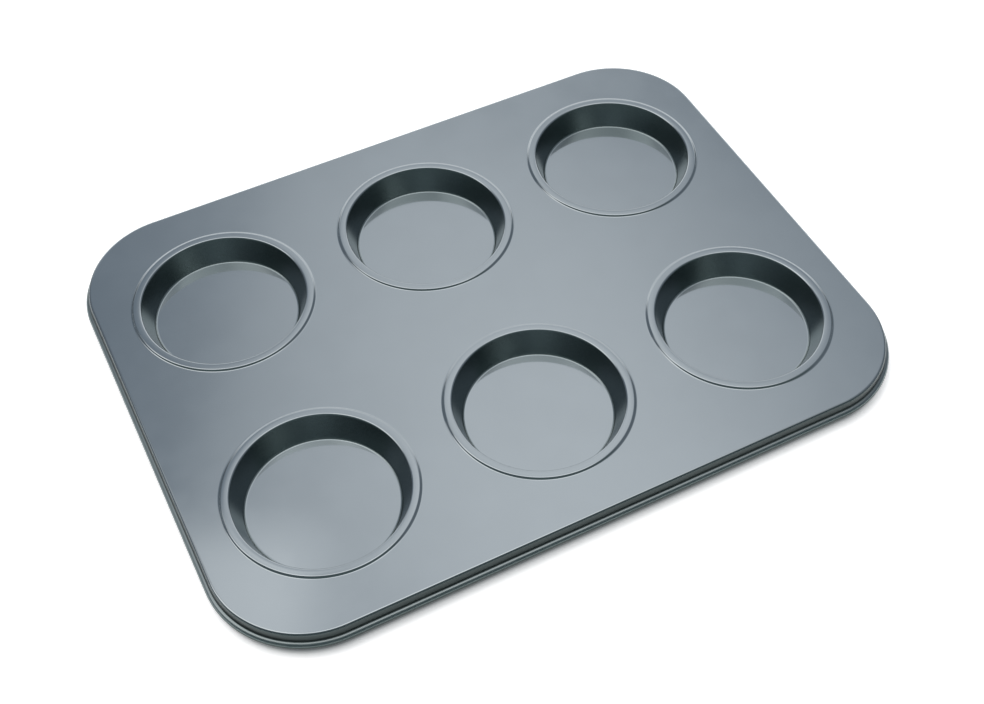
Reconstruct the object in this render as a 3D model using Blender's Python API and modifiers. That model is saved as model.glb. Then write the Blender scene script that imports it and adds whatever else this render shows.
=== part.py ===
"""A shallow six-cup baking pan, pressed from one coated steel sheet and curled round a rim wire.

The pan stands on its cups. The origin is on the surface that it stands on, under the middle
of the pan; +X runs along the long side and +Z is up. Everything is in metres.
"""

import math

import bmesh
import bpy

# Overall size, over the curled rim
PAN_LENGTH = 0.400
PAN_WIDTH = 0.306
CORNER_RADIUS = 0.0555

# The sheet
SHEET = 0.0007

# The cups, and the raised ring that is pressed round each mouth
CUPS_LONG = 3
CUPS_SHORT = 2
PITCH_LONG = 0.127
PITCH_SHORT = 0.1446
CUP_DEPTH = 0.0138
MOUTH_RADIUS = 0.0471
FLOOR_RADIUS = 0.0414
FLOOR_FILLET = 0.0015
LIP_ROLL = 0.0012
RING_LAND = 0.0029
RING_HEIGHT = 0.0009
RING_BLEND = 0.0012

# The turned-down edge
BEND_RADIUS = 0.0015
SKIRT_DEPTH = 0.0054
SKIRT_LEAN = 0.0003
NECK_RADIUS = 0.0006
CURL_OVERHANG = 0.0004
CURL_STOP_DEG = 315.0

# The wire that the rim is curled round
WIRE_DIAMETER = 0.0020
WIRE_CLEARANCE = 0.0004
WIRE_END_GAP = 0.0015

# Facets
CUP_SIDES = 36
CORNER_STEPS = 8
WIRE_ROUND_STEPS = 2

# Sizes that follow from the ones above
CURL_RADIUS = WIRE_DIAMETER / 2 + WIRE_CLEARANCE + SHEET
CURL_OUT = BEND_RADIUS + SKIRT_LEAN + CURL_OVERHANG
RIM_REACH = CURL_OUT + CURL_RADIUS
DECK_HEIGHT = CUP_DEPTH + SHEET
DECK_CORNER = CORNER_RADIUS - RIM_REACH
CORNER_X = PAN_LENGTH / 2 - CORNER_RADIUS
CORNER_Y = PAN_WIDTH / 2 - CORNER_RADIUS


def clear_scene():
    """Remove every object that the file holds."""
    for item in list(bpy.data.objects):
        bpy.data.objects.remove(item, do_unlink=True)


def make_collection(name):
    """Return a new collection linked to the scene."""
    collection = bpy.data.collections.new(name)
    bpy.context.scene.collection.children.link(collection)
    return collection


def make_material(name, color, roughness, metallic):
    """Return a Principled material."""
    material = bpy.data.materials.new(name)
    material.use_nodes = True
    shader = material.node_tree.nodes["Principled BSDF"]
    shader.inputs["Base Color"].default_value = (*color, 1.0)
    shader.inputs["Roughness"].default_value = roughness
    shader.inputs["Metallic"].default_value = metallic
    material.diffuse_color = (*color, 1.0)
    return material


def non_stick_coating():
    """Glossy blue-grey metallic coating, baked on both faces of the sheet."""
    return make_material("non_stick_coating", (0.333, 0.370, 0.403), 0.24, 0.9)


def drawn_wire_steel():
    """Bare drawn steel."""
    return make_material("drawn_wire_steel", (0.42, 0.42, 0.41), 0.38, 1.0)


def arc(center, radius, start_deg, stop_deg, steps):
    """Points on an arc, at angles counted from straight up towards the first axis."""
    points = []
    for step in range(steps + 1):
        angle = math.radians(start_deg + (stop_deg - start_deg) * step / steps)
        points.append((center[0] + radius * math.sin(angle), center[1] + radius * math.cos(angle)))
    return points


def cup_profile():
    """Radius and height over the deck, from the foot of the ring in to the middle of the floor.

    The ring's outer side is an S of two equal arcs. Its flat land rolls over at the lip into
    the sloping wall, and the wall ends in a fillet at the flat floor.
    """
    wall_lean = math.atan2(MOUTH_RADIUS - FLOOR_RADIUS, CUP_DEPTH + RING_HEIGHT)
    turn = math.pi / 2 - wall_lean
    land_in = MOUTH_RADIUS + LIP_ROLL * math.tan(turn / 2)
    land_out = land_in + RING_LAND
    floor_edge = FLOOR_RADIUS - FLOOR_FILLET * math.tan(turn / 2)

    rise = math.acos(1.0 - RING_HEIGHT / (2 * RING_BLEND))
    foot = land_out + 2 * RING_BLEND * math.sin(rise)
    rise_deg = math.degrees(rise)
    turn_deg = math.degrees(turn)
    ring_foot = arc((foot, RING_BLEND), RING_BLEND, 180.0, 180.0 + rise_deg, 2)
    shoulder = arc((land_out, RING_HEIGHT - RING_BLEND), RING_BLEND, rise_deg, 0.0, 2)
    lip = arc((land_in, RING_HEIGHT - LIP_ROLL), LIP_ROLL, 0.0, -turn_deg, 3)
    fillet = arc((floor_edge, FLOOR_FILLET - CUP_DEPTH), FLOOR_FILLET, 180.0 - turn_deg, 180.0, 2)
    return ring_foot + shoulder[1:] + lip + fillet + [(0.0, -CUP_DEPTH)]


def curl_center():
    """Distance out from the deck's flat, and height over the deck, of the middle of the curl."""
    reach = CURL_RADIUS + NECK_RADIUS
    drop = math.sqrt(reach ** 2 - (NECK_RADIUS - CURL_OVERHANG) ** 2)
    return CURL_OUT, -SKIRT_DEPTH - drop


def rim_profile():
    """Distance out and height over the deck, from the edge bend round to the sheet's cut edge.

    The bend turns down into a skirt that leans out a little. A small neck turns the skirt out
    on to the top of the curl, which goes round the wire and ends behind the skirt's foot.
    """
    lean_deg = math.degrees(math.atan2(SKIRT_LEAN, SKIRT_DEPTH - BEND_RADIUS))
    skirt_foot = BEND_RADIUS + SKIRT_LEAN
    middle = curl_center()
    top_deg = math.degrees(math.atan2(NECK_RADIUS - CURL_OVERHANG, -SKIRT_DEPTH - middle[1]))
    bend = arc((0.0, -BEND_RADIUS), BEND_RADIUS, 0.0, 90.0 - lean_deg, 3)
    neck_middle = (skirt_foot + NECK_RADIUS, -SKIRT_DEPTH)
    neck = arc(neck_middle, NECK_RADIUS, 270.0 - lean_deg, 180.0 + top_deg, 2)
    curl = arc(middle, CURL_RADIUS, top_deg, CURL_STOP_DEG, 10)
    return bend + neck + curl[1:]


def outline(offset):
    """Points round the deck's rounded rectangle, grown by an offset, from +X through +Y."""
    radius = DECK_CORNER + offset
    points = []
    for quarter, (side_x, side_y) in enumerate([(1, 1), (-1, 1), (-1, -1), (1, -1)]):
        for step in range(CORNER_STEPS + 1):
            angle = math.radians(90.0 * (quarter + step / CORNER_STEPS))
            x = side_x * CORNER_X + radius * math.cos(angle)
            y = side_y * CORNER_Y + radius * math.sin(angle)
            points.append((x, y))
    return points


def cup_centers():
    """Middle of each cup, in rows along the long side."""
    centers = []
    for row in range(CUPS_SHORT):
        for place in range(CUPS_LONG):
            x = (place - (CUPS_LONG - 1) / 2) * PITCH_LONG
            y = (row - (CUPS_SHORT - 1) / 2) * PITCH_SHORT
            centers.append((x, y))
    return centers


def turn_cups(bm):
    """Turn every cup with its ring, and return the edges round the feet of the rings."""
    for x, y in cup_centers():
        verts = [bm.verts.new((x + radius, y, DECK_HEIGHT + height)) for radius, height in cup_profile()]
        edges = [bm.edges.new(pair) for pair in zip(verts, verts[1:])]
        bmesh.ops.spin(
            bm,
            geom=verts + edges,
            cent=(x, y, 0.0),
            axis=(0.0, 0.0, 1.0),
            angle=math.tau,
            steps=CUP_SIDES,
            use_merge=True,
        )
    bmesh.ops.remove_doubles(bm, verts=bm.verts, dist=1e-6)
    return [edge for edge in bm.edges if edge.is_boundary]


def draw_rim(bm):
    """Extrude the deck's outline down the skirt and round the curl, and return the outline."""
    verts = [bm.verts.new((x, y, DECK_HEIGHT)) for x, y in outline(0.0)]
    deck_edge = [bm.edges.new((verts[i - 1], verts[i])) for i in range(len(verts))]
    loop = deck_edge
    for offset, height in rim_profile()[1:]:
        grown = bmesh.ops.extrude_edge_only(bm, edges=loop)["geom"]
        loop = [item for item in grown if isinstance(item, bmesh.types.BMEdge)]
        for vert in [item for item in grown if isinstance(item, bmesh.types.BMVert)]:
            corner_x = max(-CORNER_X, min(CORNER_X, vert.co.x))
            corner_y = max(-CORNER_Y, min(CORNER_Y, vert.co.y))
            out_x = vert.co.x - corner_x
            out_y = vert.co.y - corner_y
            scale = (DECK_CORNER + offset) / math.hypot(out_x, out_y)
            vert.co = (corner_x + out_x * scale, corner_y + out_y * scale, DECK_HEIGHT + height)
    return deck_edge


def build_pressed_pan(collection):
    """The coated sheet in one piece: deck, ringed cups, skirt and curled rim."""
    bm = bmesh.new()
    ring_edges = turn_cups(bm)
    deck_edges = draw_rim(bm)
    deck = bmesh.ops.triangle_fill(bm, use_beauty=True, edges=ring_edges + deck_edges)["geom"]
    deck_face = next(item for item in deck if isinstance(item, bmesh.types.BMFace))
    bmesh.ops.recalc_face_normals(bm, faces=bm.faces)
    deck_face.normal_update()
    if deck_face.normal.z < 0.0:
        bmesh.ops.reverse_faces(bm, faces=bm.faces)
    mesh = bpy.data.meshes.new("pressed_pan")
    bm.to_mesh(mesh)
    bm.free()
    mesh.shade_smooth()
    mesh.materials.append(non_stick_coating())

    pan = bpy.data.objects.new("pressed_pan", mesh)
    collection.objects.link(pan)
    wall = pan.modifiers.new("sheet", "SOLIDIFY")
    wall.thickness = SHEET
    wall.offset = -1.0
    wall.use_even_offset = True
    wall.use_quality_normals = True
    return pan


def build_rim_wire(collection):
    """The wire inside the curl, bent to the rim's outline, with its two ends behind the pan."""
    out, height = curl_center()
    corner = CORNER_STEPS + 1
    path = outline(out)
    back = path[corner - 1][1]
    path = [(-WIRE_END_GAP / 2, back)] + path[corner:] + path[:corner] + [(WIRE_END_GAP / 2, back)]

    curve = bpy.data.curves.new("rim_wire", "CURVE")
    curve.dimensions = "3D"
    curve.bevel_depth = WIRE_DIAMETER / 2
    curve.bevel_resolution = WIRE_ROUND_STEPS
    curve.use_fill_caps = True
    spline = curve.splines.new("POLY")
    spline.points.add(len(path) - 1)
    for point, (x, y) in zip(spline.points, path):
        point.co = (x, y, DECK_HEIGHT + height, 1.0)
    curve.materials.append(drawn_wire_steel())
    wire = bpy.data.objects.new("rim_wire", curve)
    collection.objects.link(wire)
    return wire


def build_pan():
    """Build both pieces of the pan."""
    clear_scene()
    collection = make_collection("shallow_muffin_pan")
    build_pressed_pan(collection)
    build_rim_wire(collection)


build_pan()
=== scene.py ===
"""Looks of a shallow six-cup baking pan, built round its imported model.

The pan is one coated steel sheet. It is pressed into a flat deck with six cups, a raised ring
round each mouth and a turned-down skirt, and its edge is curled round a steel wire. Everything
is in metres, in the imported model's frame: the pan stands on Z = 0 and +X runs along its long side.
"""

import logging
import math
from dataclasses import dataclass, field
from enum import Enum

import bmesh
import bpy
from mathutils import Matrix, Vector


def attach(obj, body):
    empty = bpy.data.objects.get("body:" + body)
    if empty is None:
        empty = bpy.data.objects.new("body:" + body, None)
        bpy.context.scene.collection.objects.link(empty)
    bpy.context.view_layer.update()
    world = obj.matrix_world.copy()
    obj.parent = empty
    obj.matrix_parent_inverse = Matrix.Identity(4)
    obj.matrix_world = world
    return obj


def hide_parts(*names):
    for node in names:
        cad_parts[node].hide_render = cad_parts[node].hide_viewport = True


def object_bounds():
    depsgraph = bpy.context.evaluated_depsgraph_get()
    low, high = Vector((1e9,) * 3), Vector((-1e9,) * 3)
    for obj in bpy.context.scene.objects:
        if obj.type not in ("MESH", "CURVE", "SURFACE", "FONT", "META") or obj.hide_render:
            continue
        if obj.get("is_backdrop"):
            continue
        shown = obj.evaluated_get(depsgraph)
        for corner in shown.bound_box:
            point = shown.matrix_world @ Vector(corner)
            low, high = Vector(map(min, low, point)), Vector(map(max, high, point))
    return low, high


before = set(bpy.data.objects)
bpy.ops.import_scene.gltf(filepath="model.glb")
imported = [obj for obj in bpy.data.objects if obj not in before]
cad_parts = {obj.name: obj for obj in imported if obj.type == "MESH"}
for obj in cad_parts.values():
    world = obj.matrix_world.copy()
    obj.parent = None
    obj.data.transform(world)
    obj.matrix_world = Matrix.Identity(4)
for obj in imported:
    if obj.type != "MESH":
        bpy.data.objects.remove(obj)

LOG = logging.getLogger("shallow_muffin_pan")
BODY = "root"
MERGE_DISTANCE = 1e-6

# How far out along X and Y the centres of the rim's corners are
RIM_CORNER = (0.1445, 0.0975)

# Space between the nodes of a node tree, in the node editor's units
COLUMN_STEP = 200.0

# A mottle's scale against that of the broad waviness, its detail, and the noise that it spans
MOTTLE_SCALE = 2.0
MOTTLE_DETAIL = 3.0
MOTTLE_LEVELS = (0.3, 0.7)

# Height of a direction of light, below which all share one place in the light plane
LOWEST_LIGHT = 0.02

# Width of the camera's sensor in millimetres
SENSOR_WIDTH = 36.0

VECTOR = "NodeSocketVector"
FLOAT = "NodeSocketFloat"


class Slot(Enum):
    """The record's material slots."""

    SHEET = "coated_sheet"
    WIRE = "rim_wire"


class Node(Enum):
    """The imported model's nodes."""

    SHEET = "pressed_pan"
    WIRE = "rim_wire"


# Node trees


@dataclass
class NodeTree:
    """A node tree that is written from left to right.

    Attributes:
        tree: Blender's node tree.
        column: Where the next node goes.
    """

    tree: bpy.types.NodeTree
    column: float = 0.0

    def add(self, kind: str, label: str = "", **values: object) -> bpy.types.Node:
        """Add a node to the right of the last one.

        Args:
            kind: The node's Blender type name.
            label: A label to show on the node.
            values: Properties of the node to set.

        Returns:
            The new node.
        """
        node = self.tree.nodes.new(kind)
        node.location = (self.column, 0.0)
        node.label = label
        self.column += COLUMN_STEP
        for name, value in values.items():
            setattr(node, name, value)
        return node

    def feed(self, target: bpy.types.NodeSocket, source: object) -> None:
        """Give a socket its input.

        Args:
            target: The input socket.
            source: An output socket to link, or a plain value to set.
        """
        if isinstance(source, bpy.types.NodeSocket):
            self.tree.links.new(source, target)
        else:
            target.default_value = source

    def math(self, operation: str, *inputs: object) -> bpy.types.NodeSocket:
        """Add a Math node.

        Args:
            operation: The node's operation.
            inputs: A socket or a number for each input.

        Returns:
            The node's output.
        """
        node = self.add("ShaderNodeMath", operation.lower(), operation=operation)
        for target, source in zip(node.inputs, inputs):
            self.feed(target, source)
        return node.outputs[0]

    def smooth_range(
        self, value: object, start: object, stop: object, low: object, high: object
    ) -> bpy.types.NodeSocket:
        """Map a value smoothly from one range to another.

        Args:
            value: The value to map.
            start: Where the change starts.
            stop: Where the change stops.
            low: The result up to the start.
            high: The result from the stop on.

        Returns:
            The mapped value.
        """
        node = self.add("ShaderNodeMapRange", "smooth range", interpolation_type="SMOOTHSTEP")
        names = ("Value", "From Min", "From Max", "To Min", "To Max")
        for name, source in zip(names, (value, start, stop, low, high)):
            self.feed(node.inputs[name], source)
        return node.outputs["Result"]

    def mix_color(
        self, factor: object, first: object, second: object, blend: str = "MIX"
    ) -> bpy.types.NodeSocket:
        """Mix two colours.

        Args:
            factor: How much of the second colour there is.
            first: The first colour.
            second: The second colour.
            blend: The blend type.

        Returns:
            The mixed colour.
        """
        node = self.add("ShaderNodeMix", blend.lower(), data_type="RGBA", blend_type=blend)
        for name, source in (("Factor_Float", factor), ("A_Color", first), ("B_Color", second)):
            self.feed(next(socket for socket in node.inputs if socket.identifier == name), source)
        return next(socket for socket in node.outputs if socket.identifier == "Result_Color")


def new_group(
    name: str, inputs: dict[str, str], outputs: dict[str, str]
) -> tuple[NodeTree, bpy.types.Node, bpy.types.Node]:
    """Make an empty shader node group.

    Args:
        name: The group's name.
        inputs: Each input's name and its socket type.
        outputs: Each output's name and its socket type.

    Returns:
        The group's tree, its input node and its output node.
    """
    tree = bpy.data.node_groups.new(name, "ShaderNodeTree")
    for direction, sockets in (("INPUT", inputs), ("OUTPUT", outputs)):
        for socket, kind in sockets.items():
            tree.interface.new_socket(name=socket, in_out=direction, socket_type=kind)
    nodes = NodeTree(tree)
    start = nodes.add("NodeGroupInput")
    return nodes, start, tree.nodes.new("NodeGroupOutput")


def surface_grain() -> bpy.types.NodeTree:
    """Make the node group for the slight unevenness of a surface.

    It sums a fine grain, such as a sprayed film's, and a broad waviness, such as a pressed
    sheet's, into one height in metres, and gives a slow mottle from 0 to 1.

    Returns:
        The node group.
    """
    name = "surface_grain"
    if name in bpy.data.node_groups:
        return bpy.data.node_groups[name]
    inputs = {
        "Vector": VECTOR,
        "Fine Size": FLOAT,
        "Fine Height": FLOAT,
        "Broad Size": FLOAT,
        "Broad Height": FLOAT,
    }
    nodes, start, end = new_group(name, inputs, {"Height": FLOAT, "Mottle": FLOAT})
    heights = []
    for band, detail in (("Fine", 1.0), ("Broad", 0.0)):
        scale = nodes.math("DIVIDE", 1.0, start.outputs[f"{band} Size"])
        noise = nodes.add("ShaderNodeTexNoise", band)
        nodes.feed(noise.inputs["Vector"], start.outputs["Vector"])
        nodes.feed(noise.inputs["Scale"], scale)
        nodes.feed(noise.inputs["Detail"], detail)
        heights.append(nodes.math("MULTIPLY", noise.outputs["Fac"], start.outputs[f"{band} Height"]))
    nodes.feed(end.inputs["Height"], nodes.math("ADD", *heights))
    mottle = nodes.add("ShaderNodeTexNoise", "mottle")
    nodes.feed(mottle.inputs["Vector"], start.outputs["Vector"])
    scale = nodes.math("DIVIDE", MOTTLE_SCALE, start.outputs["Broad Size"])
    nodes.feed(mottle.inputs["Scale"], scale)
    nodes.feed(mottle.inputs["Detail"], MOTTLE_DETAIL)
    level = nodes.smooth_range(mottle.outputs["Fac"], *MOTTLE_LEVELS, 0.0, 1.0)
    nodes.feed(end.inputs["Mottle"], level)
    return nodes.tree


def steep_faces() -> bpy.types.NodeTree:
    """Make the node group that is 1 on steep faces and falls smoothly to 0 on flat ones.

    Steep and flat are given by how far the face's normal points up or down, from 0 to 1.

    Returns:
        The node group.
    """
    name = "steep_faces"
    if name in bpy.data.node_groups:
        return bpy.data.node_groups[name]
    inputs = {"Normal": VECTOR, "Steep": FLOAT, "Flat": FLOAT}
    nodes, start, end = new_group(name, inputs, {"Mask": FLOAT})
    split = nodes.add("ShaderNodeSeparateXYZ")
    nodes.feed(split.inputs[0], start.outputs["Normal"])
    level = nodes.math("ABSOLUTE", split.outputs["Z"])
    mask = nodes.smooth_range(level, start.outputs["Steep"], start.outputs["Flat"], 1.0, 0.0)
    nodes.feed(end.inputs["Mask"], mask)
    return nodes.tree


def rolled_edge() -> bpy.types.NodeTree:
    """Make the node group that is 1 outside a rounded rectangle and falls smoothly to 0 at it.

    The rectangle is given by its corner centres' X and Y and its corner radius, and the mask
    rises over a width that is counted out from it.

    Returns:
        The node group.
    """
    name = "rolled_edge"
    if name in bpy.data.node_groups:
        return bpy.data.node_groups[name]
    inputs = {"Vector": VECTOR, "Corner": VECTOR, "Radius": FLOAT, "Width": FLOAT}
    nodes, start, end = new_group(name, inputs, {"Mask": FLOAT})
    place = nodes.add("ShaderNodeSeparateXYZ", "place")
    nodes.feed(place.inputs[0], start.outputs["Vector"])
    corner = nodes.add("ShaderNodeSeparateXYZ", "corner")
    nodes.feed(corner.inputs[0], start.outputs["Corner"])
    squares = []
    for axis in ("X", "Y"):
        past = nodes.math("SUBTRACT", nodes.math("ABSOLUTE", place.outputs[axis]), corner.outputs[axis])
        squares.append(nodes.math("POWER", nodes.math("MAXIMUM", past, 0.0), 2.0))
    reach = nodes.math("SQRT", nodes.math("ADD", *squares))
    outside = nodes.math("SUBTRACT", reach, start.outputs["Radius"])
    nodes.feed(end.inputs["Mask"], nodes.smooth_range(outside, 0.0, start.outputs["Width"], 0.0, 1.0))
    return nodes.tree


# Finishes


@dataclass(frozen=True)
class Finish:
    """A metallic finish with a slight unevenness.

    Attributes:
        name: The material's name.
        color: Its colour where the mottle is lightest.
        shade: The colour's share that is left where the mottle is darkest.
        roughness: Its roughness where the mottle is darkest and where it is lightest.
        fine_size: Size of the fine grain's cells.
        fine_height: How far the fine grain rises.
        broad_size: Size of the broad waves.
        broad_height: How far the broad waves rise.
        metallic: How metallic it is, from 0 to 1.
    """

    name: str
    color: tuple[float, float, float]
    shade: float
    roughness: tuple[float, float]
    fine_size: float
    fine_height: float
    broad_size: float
    broad_height: float
    metallic: float = 1.0

    def vary(
        self,
        nodes: NodeTree,
        place: bpy.types.Node,
        color: bpy.types.NodeSocket,
        roughness: bpy.types.NodeSocket,
    ) -> tuple[bpy.types.NodeSocket, bpy.types.NodeSocket]:
        """Return the colour and the roughness as they are all over the piece."""
        return color, roughness

    def material(self) -> bpy.types.Material:
        """Build the finish's material.

        Returns:
            The material, with the grain in its colour, roughness and normal.
        """
        material = bpy.data.materials.new(self.name)
        material.use_nodes = True
        material.diffuse_color = (*self.color, 1.0)
        material.node_tree.nodes.clear()
        nodes = NodeTree(material.node_tree)
        place = nodes.add("ShaderNodeTexCoord")
        grain = nodes.add("ShaderNodeGroup", "surface grain", node_tree=surface_grain())
        nodes.feed(grain.inputs["Vector"], place.outputs["Object"])
        nodes.feed(grain.inputs["Fine Size"], self.fine_size)
        nodes.feed(grain.inputs["Fine Height"], self.fine_height)
        nodes.feed(grain.inputs["Broad Size"], self.broad_size)
        nodes.feed(grain.inputs["Broad Height"], self.broad_height)

        mottle = grain.outputs["Mottle"]
        darker = tuple(channel * self.shade for channel in self.color)
        color = nodes.mix_color(mottle, (*darker, 1.0), (*self.color, 1.0))
        roughness = nodes.smooth_range(mottle, 0.0, 1.0, *self.roughness)
        color, roughness = self.vary(nodes, place, color, roughness)
        bump = nodes.add("ShaderNodeBump", "grain")
        nodes.feed(bump.inputs["Strength"], 1.0)
        nodes.feed(bump.inputs["Distance"], 1.0)
        nodes.feed(bump.inputs["Height"], grain.outputs["Height"])

        shader = nodes.add("ShaderNodeBsdfPrincipled")
        nodes.feed(shader.inputs["Base Color"], color)
        nodes.feed(shader.inputs["Roughness"], roughness)
        nodes.feed(shader.inputs["Normal"], bump.outputs["Normal"])
        nodes.feed(shader.inputs["Metallic"], self.metallic)
        end = nodes.add("ShaderNodeOutputMaterial")
        nodes.feed(end.inputs["Surface"], shader.outputs["BSDF"])
        return material


@dataclass(frozen=True)
class SprayedFinish(Finish):
    """A sprayed coating with painted shade and duller gloss on steep faces and the rolled edge.

    Attributes:
        fillet_steep: Steep and flat in the fillets at the cups' floors, as for `steep_faces`.
        fillet_top: Heights between which those limits give way to the walls' ones.
        wall_steep: Steep and flat above the fillets.
        wall_shade_tint: What the coating's colour is multiplied by on steep faces and in the
        floors' fillets, a painted shade that darkens the cups' walls and dims the fillets' highlight.
        wall_roughness: The roughness there.
        edge_corner: With the radius and the width, where the rolled edge starts, given as for
            `rolled_edge`.
        edge_shade_tint: What the coating's colour is multiplied by on the rolled edge, a painted
        shade on the skirt and the curl.
        edge_roughness: The roughness there.
        crown_foot: Heights between which the crown of the curl starts.
        crown_top: Heights between which it ends.
        crown_highlight_tint: What the coating's colour is multiplied by on the crown, a lighter
        painted shade there that leaves the curl's highlight bright.
    """

    fillet_steep: tuple[float, float] = (0.955, 0.9995)
    fillet_top: tuple[float, float] = (0.0018, 0.0035)
    wall_steep: tuple[float, float] = (0.4, 0.75)
    # Painted shade on steep faces and in the fillets, darkening the cups' walls
    wall_shade_tint: tuple[float, float, float] = (0.66, 0.70, 0.68)
    wall_roughness: float = 0.24
    edge_corner: tuple[float, float] = RIM_CORNER
    edge_radius: float = 0.0518
    edge_width: float = 0.0010
    # Painted shade on the rolled edge, darkening the skirt and the curl
    edge_shade_tint: tuple[float, float, float] = (0.20, 0.215, 0.21)
    edge_roughness: float = 0.3
    crown_foot: tuple[float, float] = (0.0069, 0.0076)
    crown_top: tuple[float, float] = (0.0084, 0.0088)
    # Lighter painted shade on the curl's crown, which keeps its highlight bright
    crown_highlight_tint: tuple[float, float, float] = (0.77, 0.80, 0.78)

    def vary(
        self,
        nodes: NodeTree,
        place: bpy.types.Node,
        color: bpy.types.NodeSocket,
        roughness: bpy.types.NodeSocket,
    ) -> tuple[bpy.types.NodeSocket, bpy.types.NodeSocket]:
        """Dull the walls and the rolled edge, and paint shade on them, lighter on the curl's crown.

        Args:
            nodes: The material's node tree.
            place: Its texture coordinates.
            color: The coating's colour.
            roughness: The coating's roughness.

        Returns:
            The colour and the roughness.
        """
        split = nodes.add("ShaderNodeSeparateXYZ", "height")
        nodes.feed(split.inputs[0], place.outputs["Object"])
        up = split.outputs["Z"]
        steep = nodes.add("ShaderNodeGroup", "steep walls", node_tree=steep_faces())
        nodes.feed(steep.inputs["Normal"], place.outputs["Normal"])
        for name, fillet, wall in zip(("Steep", "Flat"), self.fillet_steep, self.wall_steep):
            nodes.feed(steep.inputs[name], nodes.smooth_range(up, *self.fillet_top, fillet, wall))
        edge = nodes.add("ShaderNodeGroup", "rolled edge", node_tree=rolled_edge())
        nodes.feed(edge.inputs["Vector"], place.outputs["Object"])
        nodes.feed(edge.inputs["Corner"], (*self.edge_corner, 0.0))
        nodes.feed(edge.inputs["Radius"], self.edge_radius)
        nodes.feed(edge.inputs["Width"], self.edge_width)
        crown = nodes.math(
            "MULTIPLY",
            nodes.smooth_range(up, *self.crown_foot, 0.0, 1.0),
            nodes.smooth_range(up, *self.crown_top, 1.0, 0.0),
        )
        # Painted shade for the rolled edge, made lighter on the curl's crown
        edge_shade_tint = nodes.mix_color(crown, (*self.edge_shade_tint, 1.0), (*self.crown_highlight_tint, 1.0))
        # Multiply the painted shade into the colour and dull the roughness, on steep faces and the
        # rolled edge
        for mask, tint, dullness in (
            (steep.outputs["Mask"], (*self.wall_shade_tint, 1.0), self.wall_roughness),
            (edge.outputs["Mask"], edge_shade_tint, self.edge_roughness),
        ):
            color = nodes.mix_color(mask, color, tint, "MULTIPLY")
            roughness = nodes.smooth_range(mask, 0.0, 1.0, roughness, dullness)
        return color, roughness


COATING = SprayedFinish(
    name="non_stick_coating",
    color=(0.329, 0.372, 0.389),
    shade=0.97,
    roughness=(0.08, 0.11),
    fine_size=0.0016,
    fine_height=0.0000012,
    broad_size=0.055,
    broad_height=0.00002,
)

DRAWN_STEEL = Finish(
    name="drawn_wire_steel",
    color=(0.42, 0.42, 0.41),
    shade=0.8,
    roughness=(0.3, 0.42),
    fine_size=0.0004,
    fine_height=0.000004,
    broad_size=0.01,
    broad_height=0.0,
)


# Shapes


@dataclass
class SectionPen:
    """Draws a section as a chain of edges, in the upright plane through a point, facing +Y.

    Each point is given by how far out from the origin it lies, along +Y, and how far up.
    Straight runs are extruded and arcs are spun.

    Attributes:
        mesh: The bmesh to draw in.
        origin: The point that the plane goes through.
        tip: The last vertex drawn.
        chain: Every vertex and edge drawn so far.
    """

    mesh: bmesh.types.BMesh
    origin: Vector
    tip: bmesh.types.BMVert | None = None
    chain: list = field(default_factory=list)

    def place(self, out: float, up: float) -> Vector:
        """Return the point that is so far out and up."""
        return self.origin + Vector((0.0, out, up))

    def start(self, out: float, up: float) -> None:
        """Set the pen down."""
        self.tip = self.mesh.verts.new(self.place(out, up))
        self.chain = [self.tip]

    def line(self, out: float, up: float) -> None:
        """Draw a straight run to a point.

        Args:
            out: How far out the point is.
            up: How far up it is.
        """
        drawn = bmesh.ops.extrude_vert_indiv(self.mesh, verts=[self.tip])
        self.tip = drawn["verts"][0]
        self.tip.co = self.place(out, up)
        self.chain += drawn["verts"] + drawn["edges"]

    def arc(self, center: tuple[float, float], degrees: float, steps: int) -> None:
        """Draw an arc.

        Args:
            center: The arc's middle, as how far out and up it is.
            degrees: How far it turns, positive from outward towards up.
            steps: The number of straight edges that it has.
        """
        before = set(self.mesh.verts) | set(self.mesh.edges)
        spun = bmesh.ops.spin(
            self.mesh,
            geom=[self.tip],
            cent=self.place(*center),
            axis=(1.0, 0.0, 0.0),
            angle=math.radians(degrees),
            steps=steps,
        )
        self.tip = spun["geom_last"][0]
        self.chain += [item for item in [*self.mesh.verts, *self.mesh.edges] if item not in before]


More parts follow.
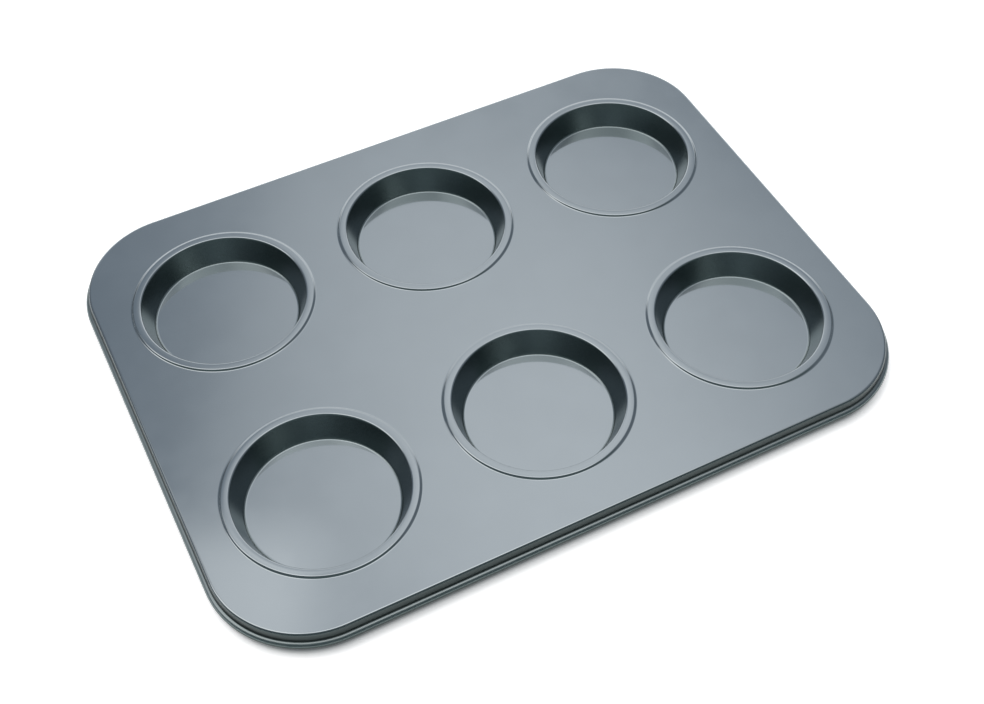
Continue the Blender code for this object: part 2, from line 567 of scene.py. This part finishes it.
@dataclass
class RimSweep:
    """Carries a section once round a rounded rectangle, from the middle of its back side.

    The section is drawn at X = 0, facing +Y from the line through the back corners' centres.

    Attributes:
        corner_x: X of the right corners' centres.
        corner_y: Y of the back corners' centres.
        corner_steps: Number of facets round a corner.
    """

    corner_x: float
    corner_y: float
    corner_steps: int

    def run(self, mesh: bmesh.types.BMesh, section: list, end_gap: float = 0.0) -> None:
        """Sweep the section.

        Args:
            mesh: The bmesh that holds the section.
            section: The section's vertices and edges.
            end_gap: How far apart the sweep's two ends are.
        """
        half_gap = end_gap / 2
        half_back = self.corner_x - half_gap
        verts = [item for item in section if isinstance(item, bmesh.types.BMVert)]
        bmesh.ops.translate(mesh, verts=verts, vec=(-half_gap, 0.0, 0.0))
        along = 2 * self.corner_x
        across = 2 * self.corner_y
        corners = [(-1, 1), (-1, -1), (1, -1), (1, 1)]
        runs = [(-half_back, 0.0), (0.0, -across), (along, 0.0), (0.0, across)]
        for (side_x, side_y), run in zip(corners, runs):
            section = self._straight(mesh, section, run)
            section = bmesh.ops.spin(
                mesh,
                geom=section,
                cent=(side_x * self.corner_x, side_y * self.corner_y, 0.0),
                axis=(0.0, 0.0, 1.0),
                angle=math.pi / 2,
                steps=self.corner_steps,
            )["geom_last"]
        self._straight(mesh, section, (-half_back, 0.0))

    @staticmethod
    def _straight(mesh: bmesh.types.BMesh, section: list, run: tuple[float, float]) -> list:
        """Extrude the section along a straight run.

        Args:
            mesh: The bmesh that holds the section.
            section: The section's vertices and edges.
            run: The run's length along X and Y.

        Returns:
            The section at the run's end.
        """
        edges = [item for item in section if isinstance(item, bmesh.types.BMEdge)]
        drawn = bmesh.ops.extrude_edge_only(mesh, edges=edges)["geom"]
        kept = [item for item in drawn if not isinstance(item, bmesh.types.BMFace)]
        verts = [item for item in kept if isinstance(item, bmesh.types.BMVert)]
        bmesh.ops.translate(mesh, verts=verts, vec=(*run, 0.0))
        return kept


def finish_piece(
    name: str, mesh: bmesh.types.BMesh, finish: Finish, node: Node
) -> bpy.types.Object:
    """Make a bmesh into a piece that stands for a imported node.

    Args:
        name: The piece's name.
        mesh: The bmesh, which is freed.
        finish: What the piece is finished in.
        node: The node that the piece stands for.

    Returns:
        The piece.
    """
    data = bpy.data.meshes.new(name)
    mesh.to_mesh(data)
    mesh.free()
    data.shade_smooth()
    data.materials.append(finish.material())
    piece = bpy.data.objects.new(name, data)
    bpy.context.scene.collection.objects.link(piece)
    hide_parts(node.value)
    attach(piece, BODY)
    return piece


@dataclass
class PanSizes:
    """Sizes that the sheet and the wire share.

    Attributes:
        length: Length of the pan, over the curl.
        width: Its width, over the curl.
        deck_height: Height of the deck's top face.
        sheet: The sheet's thickness.
        corner_radius: Radius of the pan's corners, over the curl.
        bend_radius: Outer radius of the bend at the deck's edge.
        skirt_depth: How far under the deck's top face the middle of the neck is.
        skirt_lean: How far out the skirt leans.
        neck_radius: Outer radius of the neck, which turns the skirt out onto the curl.
        curl_overhang: How far out from the skirt's foot the curl's middle is.
        wire_diameter: The wire's diameter.
        wire_clearance: Space between the wire and the inside of the curl.
        corner_steps: Number of facets round a corner.
    """

    length: float
    width: float
    deck_height: float
    sheet: float = 0.0007
    corner_radius: float = 0.0555
    bend_radius: float = 0.0015
    skirt_depth: float = 0.0054
    skirt_lean: float = 0.0003
    neck_radius: float = 0.0006
    curl_overhang: float = 0.0004
    wire_diameter: float = 0.0020
    wire_clearance: float = 0.0004
    corner_steps: int = 28

    @property
    def curl_radius(self) -> float:
        """Radius of the curl's outer face."""
        return self.wire_diameter / 2 + self.wire_clearance + self.sheet

    @property
    def skirt_foot(self) -> float:
        """How far out from the deck's flat the skirt ends."""
        return self.bend_radius + self.skirt_lean

    @property
    def curl_center(self) -> tuple[float, float]:
        """Middle of the curl.

        Returns:
            How far out from the deck's flat it is, and how far up from the deck.
        """
        reach = self.curl_radius + self.neck_radius
        drop = math.sqrt(reach**2 - (self.neck_radius - self.curl_overhang) ** 2)
        return self.skirt_foot + self.curl_overhang, -self.skirt_depth - drop

    @property
    def deck_corner(self) -> float:
        """Corner radius of the deck's flat."""
        return self.corner_radius - self.curl_center[0] - self.curl_radius

    @property
    def corner_x(self) -> float:
        """X of the middle of the right corners."""
        return self.length / 2 - self.corner_radius

    @property
    def corner_y(self) -> float:
        """Y of the middle of the back corners."""
        return self.width / 2 - self.corner_radius

    @property
    def rim_sweep(self) -> RimSweep:
        """The sweep round the rim."""
        return RimSweep(self.corner_x, self.corner_y, self.corner_steps)

    def rim_origin(self) -> Vector:
        """Return the back end of the deck's flat at X = 0, from which rim sections are drawn."""
        return Vector((0.0, self.corner_y + self.deck_corner, self.deck_height))


@dataclass
class PressedSheet:
    """The coated sheet: deck, ringed cups, skirt and curled edge, all in one piece.

    Attributes:
        sizes: The sizes that it shares with the wire.
        cups_long: Number of cups along X.
        cups_short: Number of cups along Y.
        pitch_long: How far apart the cups' middles are along X.
        pitch_short: How far apart they are along Y.
        cup_depth: How far under the deck a cup's floor is.
        mouth_radius: Radius at which the line of a cup's wall meets the level of its ring's land.
        floor_radius: Radius at which that line meets the floor.
        floor_fillet: Radius of the fillet at the floor.
        lip_roll: Radius of the roll from the land over into the wall.
        ring_land: Width of the ring's flat land.
        ring_height: How far over the deck the land is.
        ring_blend: Radius of both arcs of the ring's outer side.
        curl_stop_deg: How far round the curl ends, from straight up over the outside.
        flat_margin: Width of the flat strip beside a curve, outside which the shading is flat.
        cup_sides: Number of facets round a cup.
        ring_steps: Number of facets across each arc of the ring's outer side.
        lip_steps: Number of facets across the lip's roll.
        fillet_steps: Number of facets across the fillet.
        bend_steps: Number of facets across the bend.
        neck_steps: Number of facets across the neck.
        curl_steps: Number of facets round the curl.
    """

    sizes: PanSizes
    cups_long: int = 3
    cups_short: int = 2
    pitch_long: float = 0.127
    pitch_short: float = 0.1446
    cup_depth: float = 0.0138
    mouth_radius: float = 0.0471
    floor_radius: float = 0.0414
    floor_fillet: float = 0.0015
    lip_roll: float = 0.0012
    ring_land: float = 0.0029
    ring_height: float = 0.0009
    ring_blend: float = 0.0012
    curl_stop_deg: float = 315.0
    flat_margin: float = 0.0003
    cup_sides: int = 144
    ring_steps: int = 5
    lip_steps: int = 9
    fillet_steps: int = 9
    bend_steps: int = 10
    neck_steps: int = 5
    curl_steps: int = 32

    def cup_centers(self) -> list[Vector]:
        """Work out where the cups are.

        Returns:
            The middle of each cup, at the height of the deck's top face.
        """
        return [
            Vector((
                (place - (self.cups_long - 1) / 2) * self.pitch_long,
                (row - (self.cups_short - 1) / 2) * self.pitch_short,
                self.sizes.deck_height,
            ))
            for row in range(self.cups_short)
            for place in range(self.cups_long)
        ]

    def _turn_cup(self, mesh: bmesh.types.BMesh, center: Vector) -> None:
        """Turn one cup and its ring, from just outside the ring's foot in to the middle of the floor.

        Args:
            mesh: The bmesh to build in.
            center: The cup's middle, at the height of the deck's top face.
        """
        lean = math.atan2(self.mouth_radius - self.floor_radius, self.cup_depth + self.ring_height)
        turn = math.pi / 2 - lean
        land_in = self.mouth_radius + self.lip_roll * math.tan(turn / 2)
        land_out = land_in + self.ring_land
        floor_edge = self.floor_radius - self.floor_fillet * math.tan(turn / 2)
        rise = math.acos(1.0 - self.ring_height / (2 * self.ring_blend))
        foot = land_out + 2 * self.ring_blend * math.sin(rise)

        pen = SectionPen(mesh, center)
        pen.start(foot + self.flat_margin, 0.0)
        pen.line(foot, 0.0)
        pen.arc((foot, self.ring_blend), -math.degrees(rise), self.ring_steps)
        shoulder = (land_out, self.ring_height - self.ring_blend)
        pen.arc(shoulder, math.degrees(rise), self.ring_steps)
        pen.line(land_in, self.ring_height)
        lip = (land_in, self.ring_height - self.lip_roll)
        pen.arc(lip, math.degrees(turn), self.lip_steps)
        wall_foot = (
            floor_edge + self.floor_fillet * math.sin(turn),
            self.floor_fillet * (1.0 - math.cos(turn)) - self.cup_depth,
        )
        pen.line(*wall_foot)
        fillet = (floor_edge, self.floor_fillet - self.cup_depth)
        pen.arc(fillet, -math.degrees(turn), self.fillet_steps)
        pen.line(floor_edge - self.flat_margin, -self.cup_depth)
        pen.line(0.0, -self.cup_depth)
        bmesh.ops.spin(
            mesh,
            geom=pen.chain,
            cent=center,
            axis=(0.0, 0.0, 1.0),
            angle=math.tau,
            steps=self.cup_sides,
            use_merge=True,
        )

    def _draw_rim(self, mesh: bmesh.types.BMesh) -> None:
        """Sweep the bend, the skirt and the curl round the deck.

        Args:
            mesh: The bmesh to build in.
        """
        sizes = self.sizes
        lean = math.atan2(sizes.skirt_lean, sizes.skirt_depth - sizes.bend_radius)
        lean_deg = math.degrees(lean)
        neck_out = sizes.skirt_foot + sizes.neck_radius
        curl_out, curl_up = sizes.curl_center
        top = math.atan2(neck_out - curl_out, -sizes.skirt_depth - curl_up)
        top_deg = math.degrees(top)

        pen = SectionPen(mesh, sizes.rim_origin())
        pen.start(-self.flat_margin, 0.0)
        pen.line(0.0, 0.0)
        pen.arc((0.0, -sizes.bend_radius), lean_deg - 90.0, self.bend_steps)
        pen.line(
            neck_out - sizes.neck_radius * math.cos(lean),
            sizes.neck_radius * math.sin(lean) - sizes.skirt_depth,
        )
        pen.arc((neck_out, -sizes.skirt_depth), 90.0 - lean_deg - top_deg, self.neck_steps)
        pen.arc((curl_out, curl_up), top_deg - self.curl_stop_deg, self.curl_steps)
        sizes.rim_sweep.run(mesh, pen.chain)

    def build(self) -> bpy.types.Object:
        """Build the sheet.

        Returns:
            The piece.
        """
        mesh = bmesh.new()
        for center in self.cup_centers():
            self._turn_cup(mesh, center)
        bmesh.ops.remove_doubles(mesh, verts=mesh.verts, dist=MERGE_DISTANCE)
        cups = set(mesh.verts)
        self._draw_rim(mesh)
        rim = [vert for vert in mesh.verts if vert not in cups]
        bmesh.ops.remove_doubles(mesh, verts=rim, dist=MERGE_DISTANCE)
        level = self.sizes.deck_height
        edges = [
            edge
            for edge in mesh.edges
            if edge.is_boundary and all(abs(vert.co.z - level) < MERGE_DISTANCE for vert in edge.verts)
        ]
        bmesh.ops.triangle_fill(mesh, use_beauty=True, edges=edges)
        bmesh.ops.recalc_face_normals(mesh, faces=mesh.faces)
        floor = min(mesh.faces, key=lambda face: face.calc_center_median().z)
        if floor.normal.z < 0.0:
            bmesh.ops.reverse_faces(mesh, faces=mesh.faces)
        piece = finish_piece("coated_pan", mesh, COATING, Node.SHEET)
        wall = piece.modifiers.new("sheet", "SOLIDIFY")
        wall.thickness = self.sizes.sheet
        wall.offset = -1.0
        wall.use_even_offset = True
        wall.use_quality_normals = True
        return piece


@dataclass
class RimWire:
    """The wire inside the curl, with its two ends behind the middle of the pan's back side."""

    sizes: PanSizes
    end_gap: float = 0.0015
    sides: int = 20

    def build(self) -> bpy.types.Object:
        """Build the wire.

        Returns:
            The piece.
        """
        out, up = self.sizes.curl_center
        mesh = bmesh.new()
        upright = Matrix.Rotation(math.pi / 2, 4, "Y")
        middle = Matrix.Translation(self.sizes.rim_origin() + Vector((0.0, out, up)))
        radius = self.sizes.wire_diameter / 2
        bmesh.ops.create_circle(mesh, segments=self.sides, radius=radius, matrix=middle @ upright)
        self.sizes.rim_sweep.run(mesh, [*mesh.verts, *mesh.edges], self.end_gap)
        ends = [edge for edge in mesh.edges if edge.is_boundary]
        bmesh.ops.holes_fill(mesh, edges=ends, sides=self.sides)
        bmesh.ops.recalc_face_normals(mesh, faces=mesh.faces)
        return finish_piece("drawn_rim_wire", mesh, DRAWN_STEEL, Node.WIRE)


# The studio


@dataclass(frozen=True)
class SoftPanel:
    """A soft-edged rectangular light.

    It is laid out in the plane one unit above the pan, where a direction of light is the point
    that it passes through, so its sizes are slopes and not metres.

    Attributes:
        name: What it stands for in the studio.
        center: Its middle.
        half_size: Half its length and half its width, to the middle of its soft edge.
        softness: How far its edge fades to either side of that, at its ends and along its sides.
        turn_deg: How far it is turned round the upright.
        level: How bright it is.
    """

    name: str
    center: tuple[float, float]
    half_size: tuple[float, float]
    softness: tuple[float, float]
    turn_deg: float
    level: float


@dataclass
class Studio:
    """The floor, the light and the camera.

    A direction's height is the sine of its elevation, and its azimuth counts from the way that
    the camera looks. Between the two limits of a pair, the light changes smoothly.

    Attributes:
        floor_size: Length of the floor's sides.
        floor_color: The floor's colour.
        floor_lift: Strength of the white that the floor gives off to the camera and to mirrors.
        painted_shadow_corner: With the radius and the width, where that white starts round the pan,
        given as for `rolled_edge`; closer in the floor gives none off, a painted contact shadow.
        dome: Colour of the world in front of the camera, over the backdrop.
        sides: Its colour to the left and the right of that.
        camera_side: Its colour behind the camera.
        panel_color: Colour of the soft panels and the backdrop.
        front_azimuth_deg: Limits between the front and the sides.
        backdrop_top: Heights between which the backdrop in front ends.
        backdrop_level: How bright the backdrop is.
        dark_from: How far a direction points the way that the camera looks, between the dark
            side behind the camera and the lit rest.
        panels: The soft panels.
        lamp_energy: Power of the lamp over the floor, in watts.
        lamp_size: Length of its sides.
        lamp_place: Where it hangs.
        camera_target: The point that the camera looks at.
        camera_azimuth_deg: How far round the pan the camera is, from the front towards +X.
        camera_elevation_deg: How far it looks down.
        camera_roll_deg: How far it is turned about the way that it looks.
        camera_distance: How far it is from the target.
        lens: Its focal length in millimetres.
    """

    floor_size: float = 60.0
    floor_color: tuple[float, float, float] = (0.95, 0.95, 0.95)
    floor_lift: float = 0.45
    # Where the floor's white is held back round the pan: a painted contact shadow, seen in mirrors too
    painted_shadow_corner: tuple[float, float] = RIM_CORNER
    painted_shadow_radius: float = 0.0519
    painted_shadow_width: float = 0.0036
    dome: tuple[float, float, float] = (0.375, 0.42, 0.49)
    sides: tuple[float, float, float] = (0.25, 0.28, 0.32)
    camera_side: tuple[float, float, float] = (0.15, 0.19, 0.20)
    panel_color: tuple[float, float, float] = (1.07, 1.0, 0.96)
    front_azimuth_deg: tuple[float, float] = (28.0, 46.0)
    backdrop_top: tuple[float, float] = (0.5, 0.67)
    backdrop_level: float = 1.15
    dark_from: tuple[float, float] = (-0.22, -0.08)
    panels: tuple[SoftPanel, ...] = (
        SoftPanel("key", (0.322, 0.538), (0.224, 0.495), (0.20, 0.95), -14.0, 0.754),
        SoftPanel("window", (0.341, 0.171), (0.522, 0.737), (0.03, 0.138), -32.0, 0.131),
        SoftPanel("side", (-0.589, 0.230), (0.484, 0.658), (0.03, 0.03), -25.6, 0.51),
        SoftPanel("overhead", (-0.541, 0.259), (0.9, 0.29), (0.3, 0.11), -25.6, 2.5),
    )
    lamp_energy: float = 40.0
    lamp_size: float = 2.4
    lamp_place: tuple[float, float, float] = (-0.5, 0.9, 3.0)

    camera_target: tuple[float, float, float] = (-0.00816, -0.03216, 0.0145)
    camera_azimuth_deg: float = -25.6
    camera_elevation_deg: float = 51.63
    camera_roll_deg: float = -1.32
    camera_distance: float = 0.7918
    lens: float = 52.43

    def build(self) -> None:
        """Build the floor, the light and the camera."""
        self._lay_floor()
        self._light_world()
        self._hang_lamp()
        self._place_camera()

    def _lay_floor(self) -> None:
        """Lay the white floor that the pan stands on, with a painted contact shadow round the pan."""
        mesh = bmesh.new()
        bmesh.ops.create_grid(mesh, x_segments=1, y_segments=1, size=self.floor_size / 2)
        data = bpy.data.meshes.new("floor")
        mesh.to_mesh(data)
        mesh.free()
        material = bpy.data.materials.new("floor_white")
        material.use_nodes = True
        shader = material.node_tree.nodes["Principled BSDF"]
        shader.inputs["Base Color"].default_value = (*self.floor_color, 1.0)
        shader.inputs["Roughness"].default_value = 1.0
        shader.inputs["Specular IOR Level"].default_value = 0.0
        nodes = NodeTree(material.node_tree)
        path = nodes.add("ShaderNodeLightPath")
        seen = nodes.math("ADD", path.outputs["Is Camera Ray"], path.outputs["Is Glossy Ray"])
        seen = nodes.math("ADD", seen, path.outputs["Is Transmission Ray"])
        lift = nodes.math("MULTIPLY", nodes.math("MINIMUM", seen, 1.0), self.floor_lift)
        # Hold the white back close round the pan, painting a dark contact shadow there
        place = nodes.add("ShaderNodeTexCoord")
        clear = nodes.add("ShaderNodeGroup", "clear of the pan", node_tree=rolled_edge())
        nodes.feed(clear.inputs["Vector"], place.outputs["Object"])
        nodes.feed(clear.inputs["Corner"], (*self.painted_shadow_corner, 0.0))
        nodes.feed(clear.inputs["Radius"], self.painted_shadow_radius)
        nodes.feed(clear.inputs["Width"], self.painted_shadow_width)
        lift = nodes.math("MULTIPLY", lift, clear.outputs["Mask"])
        shader.inputs["Emission Color"].default_value = (1.0, 1.0, 1.0, 1.0)
        nodes.feed(shader.inputs["Emission Strength"], lift)
        data.materials.append(material)
        floor = bpy.data.objects.new("floor", data)
        bpy.context.scene.collection.objects.link(floor)
        floor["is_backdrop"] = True

    @staticmethod
    def _panel_mask() -> bpy.types.NodeTree:
        """Make the node group that is 1 on a panel and falls softly to 0 at its edges.

        Returns:
            The node group.
        """
        inputs = {"Vector": VECTOR, "Half Size": VECTOR, "Softness": VECTOR}
        nodes, start, end = new_group("panel_mask", inputs, {"Mask": FLOAT})
        parts = {}
        for name in inputs:
            split = nodes.add("ShaderNodeSeparateXYZ", name)
            nodes.feed(split.inputs[0], start.outputs[name])
            parts[name] = split.outputs
        sides = []
        for axis in (0, 1):
            across = nodes.math("ABSOLUTE", parts["Vector"][axis])
            inner = nodes.math("SUBTRACT", parts["Half Size"][axis], parts["Softness"][axis])
            outer = nodes.math("ADD", parts["Half Size"][axis], parts["Softness"][axis])
            sides.append(nodes.smooth_range(across, inner, outer, 1.0, 0.0))
        nodes.feed(end.inputs["Mask"], nodes.math("MULTIPLY", *sides))
        return nodes.tree

    def _light_world(self) -> None:
        """Light the world with a dim dome, a backdrop, the soft panels and a dark camera side."""
        world = bpy.data.worlds.new("studio")
        bpy.context.scene.world = world
        world.use_nodes = True
        world.node_tree.nodes.clear()
        nodes = NodeTree(world.node_tree)
        place = nodes.add("ShaderNodeTexCoord")
        split = nodes.add("ShaderNodeSeparateXYZ")
        nodes.feed(split.inputs[0], place.outputs["Generated"])
        east, north, up = split.outputs
        height = nodes.math("MAXIMUM", up, LOWEST_LIGHT)
        plane = nodes.add("ShaderNodeCombineXYZ", "light plane")
        nodes.feed(plane.inputs["X"], nodes.math("DIVIDE", east, height))
        nodes.feed(plane.inputs["Y"], nodes.math("DIVIDE", north, height))

        sine = math.sin(math.radians(self.camera_azimuth_deg))
        cosine = math.cos(math.radians(self.camera_azimuth_deg))
        away = nodes.math(
            "ADD",
            nodes.math("MULTIPLY", east, -sine),
            nodes.math("MULTIPLY", north, cosine),
        )
        across = nodes.math(
            "ADD",
            nodes.math("MULTIPLY", east, cosine),
            nodes.math("MULTIPLY", north, sine),
        )
        azimuth = nodes.math("ABSOLUTE", nodes.math("ARCTAN2", across, away))
        front_from, front_to = (math.radians(degrees) for degrees in self.front_azimuth_deg)
        front = nodes.smooth_range(azimuth, front_from, front_to, 1.0, 0.0)
        color = nodes.mix_color(front, (*self.sides, 1.0), (*self.dome, 1.0))
        low = nodes.smooth_range(up, *self.backdrop_top, 1.0, 0.0)
        backdrop = nodes.math("MULTIPLY", nodes.math("MULTIPLY", low, front), self.backdrop_level)
        color = nodes.mix_color(backdrop, color, (*self.panel_color, 1.0), "ADD")

        group = self._panel_mask()
        for panel in self.panels:
            mapping = nodes.add("ShaderNodeMapping", panel.name, vector_type="TEXTURE")
            nodes.feed(mapping.inputs["Vector"], plane.outputs[0])
            nodes.feed(mapping.inputs["Location"], (*panel.center, 0.0))
            nodes.feed(mapping.inputs["Rotation"], (0.0, 0.0, math.radians(panel.turn_deg)))
            mask = nodes.add("ShaderNodeGroup", panel.name, node_tree=group)
            nodes.feed(mask.inputs["Vector"], mapping.outputs[0])
            nodes.feed(mask.inputs["Half Size"], (*panel.half_size, 0.0))
            nodes.feed(mask.inputs["Softness"], (*panel.softness, 0.0))
            level = nodes.math("MULTIPLY", mask.outputs["Mask"], panel.level)
            color = nodes.mix_color(level, color, (*self.panel_color, 1.0), "ADD")
        lit = nodes.smooth_range(away, *self.dark_from, 0.0, 1.0)
        color = nodes.mix_color(lit, (*self.camera_side, 1.0), color)
        background = nodes.add("ShaderNodeBackground")
        nodes.feed(background.inputs["Color"], color)
        end = nodes.add("ShaderNodeOutputWorld")
        nodes.feed(end.inputs["Surface"], background.outputs[0])

    def _hang_lamp(self) -> None:
        """Hang the broad lamp that brings the floor to white and gives the pan its soft shadow."""
        lamp = bpy.data.lights.new("fill", "AREA")
        lamp.shape = "SQUARE"
        lamp.size = self.lamp_size
        lamp.energy = self.lamp_energy
        holder = bpy.data.objects.new("fill", lamp)
        holder.location = self.lamp_place
        holder.rotation_mode = "QUATERNION"
        holder.rotation_quaternion = Vector(self.lamp_place).to_track_quat("Z", "Y")
        holder.visible_glossy = False
        bpy.context.scene.collection.objects.link(holder)

    def _place_camera(self) -> None:
        """Place the camera at the photograph's viewing angle."""
        azimuth = math.radians(self.camera_azimuth_deg)
        elevation = math.radians(self.camera_elevation_deg)
        back = Vector((
            math.sin(azimuth) * math.cos(elevation),
            -math.cos(azimuth) * math.cos(elevation),
            math.sin(elevation),
        ))
        lens = bpy.data.cameras.new("camera")
        lens.lens = self.lens
        lens.sensor_width = SENSOR_WIDTH
        camera = bpy.data.objects.new("camera", lens)
        place = Matrix.Translation(Vector(self.camera_target) + back * self.camera_distance)
        aim = back.to_track_quat("Z", "Y").to_matrix().to_4x4()
        camera.matrix_world = place @ aim @ Matrix.Rotation(math.radians(self.camera_roll_deg), 4, "Z")
        bpy.context.scene.collection.objects.link(camera)
        bpy.context.scene.camera = camera


def main() -> None:
    """Build the pan and the studio."""
    logging.basicConfig(level=logging.INFO, format="%(name)s: %(message)s")
    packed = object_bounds()
    low, high = packed
    ring_height = PressedSheet.ring_height
    sizes = PanSizes(high.x - low.x, high.y - low.y, high.z - low.z - ring_height)
    for maker in (PressedSheet(sizes), RimWire(sizes)):
        piece = maker.build()
        LOG.info("%s: %d faces", piece.name, len(piece.data.polygons))
    Studio().build()
    scene = bpy.context.scene
    scene.view_settings.view_transform = "Standard"


if __name__ == "__main__":
    main()
